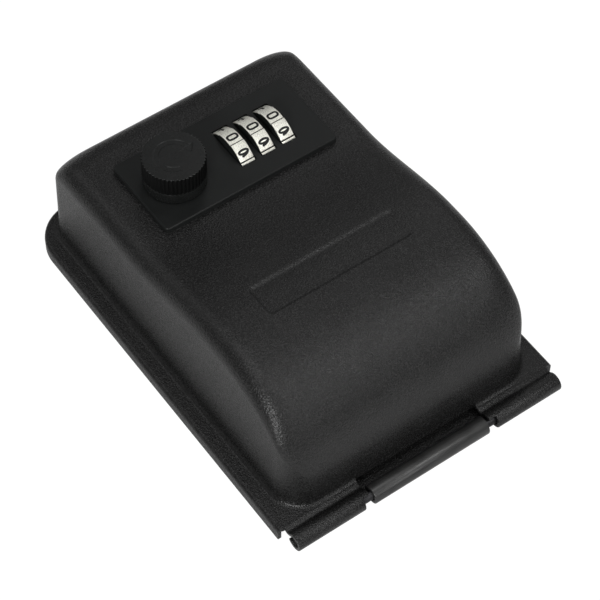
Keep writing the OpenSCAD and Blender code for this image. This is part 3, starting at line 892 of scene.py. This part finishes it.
class DressBack(bpy.types.Operator):
    """Build the back plate with its rim, its screw holes and the middle hinge barrel"""

    bl_idname = "key_box.dress_back"
    bl_label = "Back plate"

    def execute(self, context):
        door, hinge, back = settings().door, settings().hinge, settings().back
        low, high = TRAY_LOW, TRAY_HIGH
        front = DOOR_LOW.y + back.front

        def ring(inset, z):
            """The outline without its front edge, inset at a height."""
            r = back.corner - inset
            x, y1 = high.x - inset, high.y - inset
            right = [(x, front)] + arc((x - r, y1 - r), r, 0, 90, 14)
            left = [(-px, py) for px, py in right[::-1]]
            return [(px, py, z) for px, py in right + left]

        holes = [arc(place, radius, 0, 360, 40)[:-1] for place, radius in screw_holes()]
        holes += [arc(place, back.rivet_hole, 0, 360, 28)[:-1] for place in rivet_places()]
        barrel_y = DOOR_LOW.y + hinge.barrel_r
        tongue_y = barrel_y + hinge.tongue_y
        tongue = [(-1, front), (-1, tongue_y), (1, tongue_y), (1, front)]
        tongue = [(side * hinge.tongue_x, y) for side, y in tongue]
        shell = Shell()
        shell.level([(x, y) for x, y, _ in ring(back.bend, 0)] + tongue, holes, low.z)
        fold = []
        for turn in (0, 22.5, 45, 67.5, 90):
            a = math.radians(turn)
            fold.append(ring(back.bend * (1 - math.sin(a)), low.z + back.bend * (1 - math.cos(a))))
        shell.grid(fold + [ring(0, back.rim_z)])
        tray = shell.build("back_tray", [powder_coat()])
        if min(tray.data.polygons, key=lambda face: face.center.z).normal.z > 0:
            tray.data.flip_normals()
        bake(tray, "SOLIDIFY", thickness=door.sheet, offset=-1.0, use_even_offset=True)
        profile = [(tongue_y, low.z)]
        end = math.degrees(hinge.middle_end)
        profile += arc((barrel_y, hinge.barrel_r), hinge.barrel_r, 270, end, 44)
        # The middle barrel takes the lighter coat, a painted highlight
        barrel = bent(profile, [(-hinge.middle_x, hinge.middle_x, len(profile))], -1, barrel_highlight_coat())
        piece = joined("back_tray", tray, barrel)
        soften(piece, 50)
        finished(piece, "back", "powder_coat", "back_plate")
        return {"FINISHED"}


def screw_holes():
    """Centre and radius of each wall screw hole."""
    mount = next(m for m in frame["record"]["mounts"] if m["name"] == "wall_screws")
    sizes = {name: value / 1000 for name, value in mount["dims"].items()}
    dx, dy = sizes["spacing_x_mm"] / 2, sizes["spacing_y_mm"] / 2
    return [((sx * dx, sy * dy), sizes["hole_r_mm"]) for sx in (-1, 1) for sy in (-1, 1)]


def rivet_places():
    """Centres of the rivets that hold the strike and the hook strip."""
    head = settings().back.rivet_head
    found = []
    for node in ("strike_rivets", "hook_rivets"):
        low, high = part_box(node)
        found += [(x, middle(node).y) for x in (low.x + head, high.x - head)]
    return found


# The lock


def rounded(low_x, low_y, high_x, high_y, r, steps):
    """A rectangle in plan with round corners."""
    corners = (
        ((high_x - r, low_y + r), -90), ((high_x - r, high_y - r), 0),
        ((low_x + r, high_y - r), 90), ((low_x + r, low_y + r), 180),
    )
    return [point for centre, turn in corners for point in arc(centre, r, turn, turn + 90, steps)]


class DressLockPlate(bpy.types.Operator):
    """Build the lock's front plate with its bevelled edge and three windows"""

    bl_idname = "key_box.dress_lock_plate"
    bl_label = "Lock plate"

    def execute(self, context):
        lock = settings().lock
        low, high = PLATE_LOW, PLATE_HIGH
        bevel = lock.chamfer

        def edge(inset):
            """The plate's outline, inset."""
            sides = (low.x + inset, low.y + inset, high.x - inset, high.y - inset)
            return rounded(*sides, lock.corner - inset, 6)

        def window(node, z, flare=0.0):
            """A window's outline at a height; its ends follow the wheel's curve."""
            near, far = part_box(node)
            centre = (near + far) / 2
            reach = far.y - centre.y + lock.window_gap
            half_l = math.sqrt(reach ** 2 - (z - centre.z) ** 2) + flare
            grow = lock.window_gap + flare
            sides = (near.x - grow, centre.y - half_l, far.x + grow, centre.y + half_l)
            return rounded(*sides, lock.window_corner + flare, 4)

        shell = Shell()
        edges = ((0, low.z), (0, high.z - bevel), (bevel, high.z))
        shell.grid([[(x, y, z) for x, y in edge(inset)] for inset, z in edges], wrap=True)
        lip = lock.window_lip
        for node in WHEELS:
            levels = ((low.z, 0), ((low.z + high.z) / 2, 0), (high.z - lip, 0), (high.z, lip))
            shell.grid([[(x, y, z) for x, y in window(node, z, out)] for z, out in levels], wrap=True)
        shell.level(edge(0), [window(node, low.z) for node in WHEELS], low.z)
        shell.level(edge(bevel), [window(node, high.z, lip) for node in WHEELS], high.z)
        piece = shell.build("lock_face", [lock_black()], 30)
        finished(piece, "door", "lock_black", "lock_plate")
        return {"FINISHED"}


def arrow(x, y):
    """1 inside the plain turning arrow on the knob's top and 0 outside it."""
    lock = settings().lock
    inner, outer = lock.arrow_inner, lock.arrow_outer
    start, end, tip = 10.0, 262.0, 30.0  # the band's ends and the head's length in degrees
    soft = 0.00016
    lean = 0.8  # the head's sides lean, so they lie nearer than they seem along the radius
    r = math.hypot(x, y)
    turn = math.degrees(math.atan2(y, x)) % 360
    degree = math.radians(1) * r
    band = min(r - inner, outer - r, min(turn - start, end - turn) * degree)
    head_share = (start - turn if turn < 180 else start - turn + 360) / tip
    half = lock.arrow_head * (1 - head_share)
    head = min(half - abs(r - (inner + outer) / 2), head_share * tip * degree) * lean
    return smooth(0.5 + max(band, head) / soft)


class DressKnob(bpy.types.Operator):
    """Build the serrated turn knob with its turning arrow"""

    bl_idname = "key_box.dress_knob"
    bl_label = "Knob"

    def execute(self, context):
        lock = settings().lock
        centre = (KNOB_LOW + KNOB_HIGH) / 2
        base, top = KNOB_LOW.z, KNOB_HIGH.z
        radius = (KNOB_HIGH.x - KNOB_LOW.x) / 2
        collar = base + lock.collar
        # Each step has a radius, a height and a share of the tooth depth
        profile = (
            (0.0, base, 0), (radius - 0.0003, base, 0), (radius - 0.0001, base + 0.0001, 0),
            (radius, base + 0.0003, 0), (radius, collar - 0.0002, 0),
            (radius - 0.00005, collar, 0), (radius - 0.00005, collar + 0.00012, 1),
            (radius - 0.00005, top - 0.00024, 1), (radius - 0.0001, top - 0.0001, 1),
            (radius - 0.00022, top, 0.9), (radius - 0.0006, top, 0),
        )
        per_tooth = 12
        groove_share = 0.62
        count = lock.teeth * per_tooth
        turns = [2 * math.pi * i / count for i in range(count)]

        def ring(r, z, share):
            """One ring of the knob's side."""
            row = []
            for i, a in enumerate(turns):
                off = 2 * (i % per_tooth) / per_tooth - 1
                deep = r - lock.tooth * share * max(0, 1 - (off / groove_share) ** 2)
                row.append((centre.x + deep * math.cos(a), centre.y + deep * math.sin(a), z))
            return row

        rows = [ring(*step) for step in profile]
        outside, within = 0.0006, 0.0007  # how far the fine rings reach past the arrow
        fine_from, fine_to = lock.arrow_outer + outside, lock.arrow_inner - within
        radii = spaced(((profile[-1][0], 0), (fine_from, 8), (fine_to, 34), (0.0, 4)))
        for r in radii[1:]:
            row = []
            for a in turns:
                x, y = r * math.cos(a), r * math.sin(a)
                row.append((centre.x + x, centre.y + y, top - lock.arrow_depth * arrow(x, y)))
            rows.append(row)
        shell = Shell()
        band_start, band_end = 5, 8  # the rings between which the side has teeth
        shell.grid(rows[:band_start + 1], wrap=True)
        # The toothed band takes the darker black, painted shade in the band
        shell.grid(rows[band_start:band_end + 1], wrap=True, look=1)
        shell.grid(rows[band_end:], wrap=True)
        piece = shell.build("knob_grip", [knob_black(), grip_shade_black()], 50)
        finished(piece, "knob_set", "knob_black", "knob")
        return {"FINISHED"}


# Numerals are lines through a box that is 1 wide and 1 high


def bow(x, y, half_w, half_h, start, end, steps=20):
    """Part of an ellipse, with angles in degrees."""
    turns = [math.radians(start + (end - start) * i / steps) for i in range(steps + 1)]
    return [(x + half_w * math.cos(a), y + half_h * math.sin(a)) for a in turns]


def squarish(x, y, half_w, half_h):
    """A closed line between an ellipse and a rectangle."""
    power, steps = 0.62, 48  # a power of 1 is an ellipse and 0 a rectangle
    points = []
    for i in range(steps + 1):
        a = 2 * math.pi * i / steps
        c, s = math.cos(a), math.sin(a)
        across, up = math.copysign(abs(c) ** power, c), math.copysign(abs(s) ** power, s)
        points.append((x + half_w * across, y + half_h * up))
    return points


NUMERALS = (
    (squarish(0.5, 0.5, 0.5, 0.5),),
    (((0.25, 0.75), (0.55, 1.0), (0.55, 0.0)),),
    (bow(0.5, 0.7, 0.46, 0.3, 165, -28) + [(0.0, 0.0), (1.0, 0.0)],),
    (bow(0.46, 0.76, 0.42, 0.24, 150, -90), bow(0.46, 0.26, 0.5, 0.26, 90, -150)),
    (((0.72, 0.0), (0.72, 1.0), (0.0, 0.3), (1.0, 0.3)),),
    (((0.92, 1.0), (0.14, 1.0), (0.08, 0.52)), bow(0.46, 0.32, 0.52, 0.32, 138, -145)),
    (bow(0.5, 0.3, 0.48, 0.3, 0, 360, 28), bow(0.95, 0.3, 0.93, 0.7, 180, 104)),
    (((0.0, 1.0), (1.0, 1.0), (0.32, 0.0)),),
    (bow(0.5, 0.76, 0.4, 0.24, 0, 360, 28), bow(0.5, 0.26, 0.5, 0.26, 0, 360, 28)),
    (bow(0.5, 0.68, 0.48, 0.32, 0, 360, 28), bow(0.05, 0.7, 0.93, 0.7, 0, -76)),
)
PITCH = 360 / len(NUMERALS)  # degrees from one numeral to the next


def ribbon(shell, line, width, raise_to):
    """A flat line with round ends that flares at its last point.

    raise_to puts a flat point on the wheel.
    """
    sharpest = 0.6  # limits how far a bend's outer corner reaches
    line = [Vector(p) for p in line]
    closed = (line[0] - line[-1]).length < WELD
    left, right = [], []
    for i, point in enumerate(line):
        before = line[i - 1] if i else (line[-2] if closed else point)
        after = line[i + 1] if i < len(line) - 1 else (line[1] if closed else point)
        into = (point - before).normalized()
        out = (after - point).normalized()
        along = (into + out).normalized()
        miter = 1 / max(sharpest, abs(along.dot(out)))
        across = Vector((-along.y, along.x)) * (width / 2 * miter)
        left.append(point + across)
        right.append(point - across)
    rows = [left, right]
    if not closed:
        ends = ((line[0], line[0] - line[1]), (line[-1], line[-1] - line[-2]))
        for end, away in ends:
            turn = math.degrees(math.atan2(away.y, away.x))
            fan = arc(end, width / 2, turn - 90, turn + 90, 8)
            thick(shell, [[Vector(p) for p in fan], [end] * len(fan)], raise_to)
    thick(shell, rows, raise_to)


def thick(shell, rows, raise_to):
    """The top and sides of a thin slab over two rows of flat points."""
    high = [[raise_to(p, True) for p in row] for row in rows]
    low = [[raise_to(p, False) for p in row] for row in rows]
    shell.grid([low[0], high[0], high[1], low[1]])


class DressWheels(bpy.types.Operator):
    """Build the three number wheels with their grooves and numerals"""

    bl_idname = "key_box.dress_wheels"
    bl_label = "Number wheels"

    def execute(self, context):
        lock = settings().lock
        for index, node in enumerate(WHEELS, 1):
            body = f"wheel_{index}"
            looks = [wheel_metal(), lock_black(), ink_and_groove_shade()]
            tread = self.tread(node, lock).build(f"wheel_tread_{index}", looks, 34)
            finished(tread, body, "wheel_metal", node)
            digits = self.digits(node, lock).build(f"wheel_numerals_{index}", [ink_and_groove_shade()], 60)
            finished(digits, body, "lock_black")
        return {"FINISHED"}

    def pad(self, turn, radius, lock):
        """Radius of the tread at a turn from the top, and how far the nearest groove is."""
        off = math.degrees(turn - lock.phase + lock.seam) % PITCH
        groove = math.radians(min(off, PITCH - off)) * radius
        return radius - lock.step * (1 - off / PITCH), groove

    def tread(self, node, lock):
        """A wheel with ten sloping pads, bright round its tread and black on its sides."""
        low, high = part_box(node)
        centre = (low + high) / 2
        radius = (high.y - low.y) / 2
        half_w = (high.x - low.x) / 2
        rim = lock.wheel_rim
        count = 720
        turns = [2 * math.pi * i / count for i in range(count)]

        def row(x, less, bore=False):
            """A row round the tread, sunk by less, or round the bore."""
            points = []
            for a in turns:
                r, groove = self.pad(a, radius, lock)
                # Full depth up to 0.6 of the groove's half width and none from 1.6
                deep = lock.groove_depth * smooth(1.6 - groove / (lock.groove / 2))
                r = lock.wheel_bore if bore else r - less - deep
                y, z = centre.y + r * math.sin(a), centre.z + r * math.cos(a)
                points.append((centre.x + x, y, z))
            return points

        # Look 0 is the bright tread, 1 the black sides and 2 the numerals' black, painted into the grooves as shade
        shell = Shell()
        for side in (-1, 1):
            rows = [row(side * half_w, 0, bore=True), row(side * half_w, rim * 1.6)]
            shell.grid(rows + [row(side * (half_w - rim * 0.4), rim * 0.8)], wrap=True, look=1)
        edges = [
            (-half_w + rim * 0.4, rim * 0.8), (-half_w + rim, rim * 0.15),
            (-half_w + rim * 1.6, 0), (0, 0), (half_w - rim * 1.6, 0),
            (half_w - rim, rim * 0.15), (half_w - rim * 0.4, rim * 0.8),
        ]
        first = len(shell.faces)
        shell.grid([row(*edge) for edge in edges], wrap=True)
        # Faces over a groove take the numerals' black: painted shade in the grooves
        for i in range(first, len(shell.faces)):
            turn = turns[(i - first) % count] + math.pi / count
            if self.pad(turn, radius, lock)[1] < lock.groove / 2:
                shell.looks[i] = 2
        shell.grid([row(-half_w, 0, bore=True), row(half_w, 0, bore=True)], wrap=True, look=1)
        return shell

    def digits(self, node, lock):
        """Ten numerals wrapped round a wheel, upright when read from the hinge."""
        low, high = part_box(node)
        centre = (low + high) / 2
        radius = (high.y - low.y) / 2
        ink_top, ink_foot = 0.00002, 0.00012
        shell = Shell()
        for numeral, lines in enumerate(NUMERALS):
            middle_turn = lock.phase + math.radians(PITCH * numeral)

            def wrap(point, upper):
                """A flat point on the top or the foot of the ink."""
                turn = middle_turn + point.y / radius
                r = self.pad(turn, radius, lock)[0] + (ink_top if upper else -ink_foot)
                y, z = centre.y + r * math.sin(turn), centre.z + r * math.cos(turn)
                return (centre.x + point.x, y, z)

            for line in lines:
                flat = [((x - 0.5) * lock.digit_w, (y - 0.5) * lock.digit_h) for x, y in line]
                ribbon(shell, fine(flat), lock.stroke, wrap)
        return shell


def fine(line):
    """The same line with more points, so that it can bend round a wheel."""
    step = 0.0004
    points = [line[0]]
    for (ax, ay), (bx, by) in zip(line, line[1:]):
        count = max(1, round(math.hypot(bx - ax, by - ay) / step))
        shares = [(i + 1) / count for i in range(count)]
        points += [(ax + (bx - ax) * share, ay + (by - ay) * share) for share in shares]
    return points


# Pieces that keep their CAD shape


def dress(nodes, look, bevel=0.00015):
    """Gives CAD nodes a finish and softly broken edges."""
    for node in nodes:
        piece = frame["nodes"][node]
        if not piece.material_slots:
            piece.data.materials.append(look)
        for slot in piece.material_slots:
            slot.material = look
        if bevel:
            weld = piece.modifiers.new("Weld", "WELD")
            weld.merge_threshold = WELD
            broken = piece.modifiers.new("Broken edges", "BEVEL")
            broken.width = bevel
            broken.segments = 2
            broken.limit_method = "ANGLE"
            broken.angle_limit = math.radians(40)
            broken.harden_normals = True


class DressLockWorks(bpy.types.Operator):
    """Finish the lock's housing, cover, axle, spring, fence and code parts"""

    bl_idname = "key_box.dress_lock_works"
    bl_label = "Lock works"

    def execute(self, context):
        dress(("lock_housing", "knob_spindle"), cast_zinc(), 0.0002)
        dress(("lock_rear_cover", "dial_axle", "fence_bar"), plated_steel())
        dress(("rear_cover_screws", "lock_screws"), plated_steel(), 0.0001)
        dress(("code_sleeve_1", "code_sleeve_2", "code_sleeve_3", "change_lever"), brass())
        dress(("detent_spring",), spring_steel(), 0)
        return {"FINISHED"}


class DressLatch(bpy.types.Operator):
    """Finish the latch cam with its washer and nut"""

    bl_idname = "key_box.dress_latch"
    bl_label = "Latch"

    def execute(self, context):
        dress(("latch_cam", "cam_washer", "cam_nut"), plated_steel())
        return {"FINISHED"}


class DressFittings(bpy.types.Operator):
    """Finish the hinge pin, the strike, the key hooks and their rivets"""

    bl_idname = "key_box.dress_fittings"
    bl_label = "Fittings"

    def execute(self, context):
        dress(("hinge_pin",), dark_steel())
        dress(("strike_bracket", "key_hook_strip"), plated_steel(), 0.0002)
        dress(("strike_rivets", "hook_rivets"), plated_steel(), 0.0003)
        return {"FINISHED"}


# The studio


# Each lamp's name, azimuth and elevation in degrees, width and depth in metres, and power in watts
LAMPS = (
    ("front_left", -48, 24, 0.22, 0.18, 4.62),
    ("high_left", -90, 70, 0.30, 0.30, 1.12),
    ("front", 10, 24, 0.30, 0.20, 0.84),
    ("front_high", 15, 48, 0.30, 0.30, 0.70),
    ("crest", 37, 56, 0.14, 0.14, 0.98),
    ("right", 50, 38, 0.30, 0.45, 0.28),
    ("right_side", 85, 42, 0.30, 0.40, 0.21),
    ("back_right", 130, 45, 0.40, 0.40, 0.56),
    ("back_left", -150, 42, 0.50, 0.40, 0.56),
    ("top", 0, 89, 0.40, 0.40, 0.84),
)


def around(azimuth, elevation):
    """The direction from the box to a place round it; azimuth 0 is in front of the hinge."""
    flat = math.cos(elevation)
    return Vector((math.sin(azimuth) * flat, -math.cos(azimuth) * flat, math.sin(elevation)))


def lamp(name, azimuth, elevation, width, depth, power):
    """A soft rectangular light that points at the box."""
    target = Vector((0, 0, 0.02))
    away = around(math.radians(azimuth), math.radians(elevation)) * settings().stage.lamp_distance
    light = bpy.data.lights.new(name, "AREA")
    light.shape = "RECTANGLE"
    light.size = width
    light.size_y = depth
    light.energy = power
    lamp_object = bpy.data.objects.new(name, light)
    bpy.context.scene.collection.objects.link(lamp_object)
    lamp_object.location = target + away
    lamp_object.rotation_mode = "QUATERNION"
    lamp_object.rotation_quaternion = (-away).to_track_quat("-Z", "Y")


class SetStage(bpy.types.Operator):
    """Set up the floor, the lights and the camera"""

    bl_idname = "key_box.set_stage"
    bl_label = "Stage"

    def execute(self, context):
        stage = settings().stage
        self.floor(stage)
        self.world(stage)
        for light in LAMPS:
            lamp(*light)
        self.camera(stage)
        context.scene.view_settings.view_transform = "Standard"
        return {"FINISHED"}

    def floor(self, stage):
        """A pale floor that the camera sees nearly white, with the box's shadow."""
        reach = stage.floor_reach
        gap = 0.0001
        z = DOOR_LOW.z - gap
        shell = Shell()
        shell.grid([[(x, y, z) for x in (-reach, 0, reach)] for y in (-reach, 0, reach)])
        finish = Finish(
            "floor", base_color=(*stage.floor, 1), roughness=0.9, specular_ior_level=0.1
        )
        glow = {"Color": (1, 1, 1, 1), "Strength": stage.floor_white}
        white = finish.add("ShaderNodeEmission", {}, glow)
        seen = finish.light_path("Is Camera Ray") * stage.floor_share
        surface = Value(finish, finish.shader.outputs[0])
        mixed = finish.add("ShaderNodeMixShader", {}, {0: seen, 1: surface, 2: white})
        finish.join(mixed, finish.tree.nodes["Material Output"].inputs["Surface"])
        floor = shell.build("floor", [finish.material])

    def world(self, stage):
        """A faint fill light, with a white backdrop for the camera and in part for gloss."""
        world = bpy.data.worlds.new("studio")
        bpy.context.scene.world = world
        sky = Nodes(world)
        first = sky.tree.nodes["Background"]
        first.inputs["Color"].default_value = (1, 1, 1, 1)
        first.inputs["Strength"].default_value = stage.fill
        fill = Value(sky, first.outputs[0])
        white = sky.add("ShaderNodeBackground", {}, {"Color": (1, 1, 1, 1), "Strength": 1.0})
        seen = sky.light_path("Is Camera Ray") + sky.light_path("Is Glossy Ray") * stage.backdrop
        mixed = sky.add("ShaderNodeMixShader", {}, {0: seen, 1: fill, 2: white})
        sky.join(mixed, sky.tree.nodes["World Output"].inputs["Surface"])

    def camera(self, stage):
        """The photo's point of view."""
        back = around(stage.azimuth, stage.elevation)
        right = Vector((math.cos(stage.azimuth), math.sin(stage.azimuth), 0))
        up = back.cross(right)
        turned = Matrix.Rotation(stage.roll, 3, "Z")
        data = bpy.data.cameras.new("camera")
        data.lens = stage.lens
        data.sensor_width = 36
        data.clip_end = 20
        camera = bpy.data.objects.new("camera", data)
        bpy.context.scene.collection.objects.link(camera)
        camera.rotation_mode = "QUATERNION"
        axes = Matrix((right, up, back)).transposed() @ turned
        camera.rotation_quaternion = axes.to_quaternion()
        camera.location = stage.place
        bpy.context.scene.camera = camera


class KeyBoxSettings(bpy.types.PropertyGroup):
    """All settings of the key box"""

    door: PointerProperty(type=KeyBoxDoor, name="Door", description="Sizes of the door")
    hinge: PointerProperty(type=KeyBoxHinge, name="Hinge", description="Sizes of the hinge")
    back: PointerProperty(type=KeyBoxBack, name="Back", description="Sizes of the back plate")
    lock: PointerProperty(type=KeyBoxLock, name="Lock", description="Sizes of the lock")
    finishes: PointerProperty(type=KeyBoxFinishes, name="Finishes", description="Colours")
    stage: PointerProperty(type=KeyBoxStage, name="Stage", description="Camera and studio")


OPERATORS = (
    DressDoor, DressBack, DressLockPlate, DressKnob, DressWheels, DressLockWorks, DressLatch,
    DressFittings, SetStage,
)


class KeyBoxPanel(bpy.types.Panel):
    """Buttons that build the key box"""

    bl_idname = "VIEW3D_PT_key_box"
    bl_label = "Key box"
    bl_space_type = "VIEW_3D"
    bl_region_type = "UI"
    bl_category = "Key box"

    def draw(self, context):
        for operator in OPERATORS:
            self.layout.operator(operator.bl_idname)


CLASSES = (
    KeyBoxDoor, KeyBoxHinge, KeyBoxBack, KeyBoxLock, KeyBoxFinishes, KeyBoxStage, KeyBoxSettings,
    *OPERATORS, KeyBoxPanel,
)


def register():
    for item in CLASSES:
        bpy.utils.register_class(item)
    bpy.types.Scene.key_box = PointerProperty(type=KeyBoxSettings)


def unregister():
    del bpy.types.Scene.key_box
    for item in reversed(CLASSES):
        bpy.utils.unregister_class(item)


def main():
    register()
    for operator in OPERATORS:
        group, name = operator.bl_idname.split(".")
        getattr(getattr(bpy.ops, group), name)()
    bpy.context.view_layer.update()


if __name__ == "__main__":
    main()
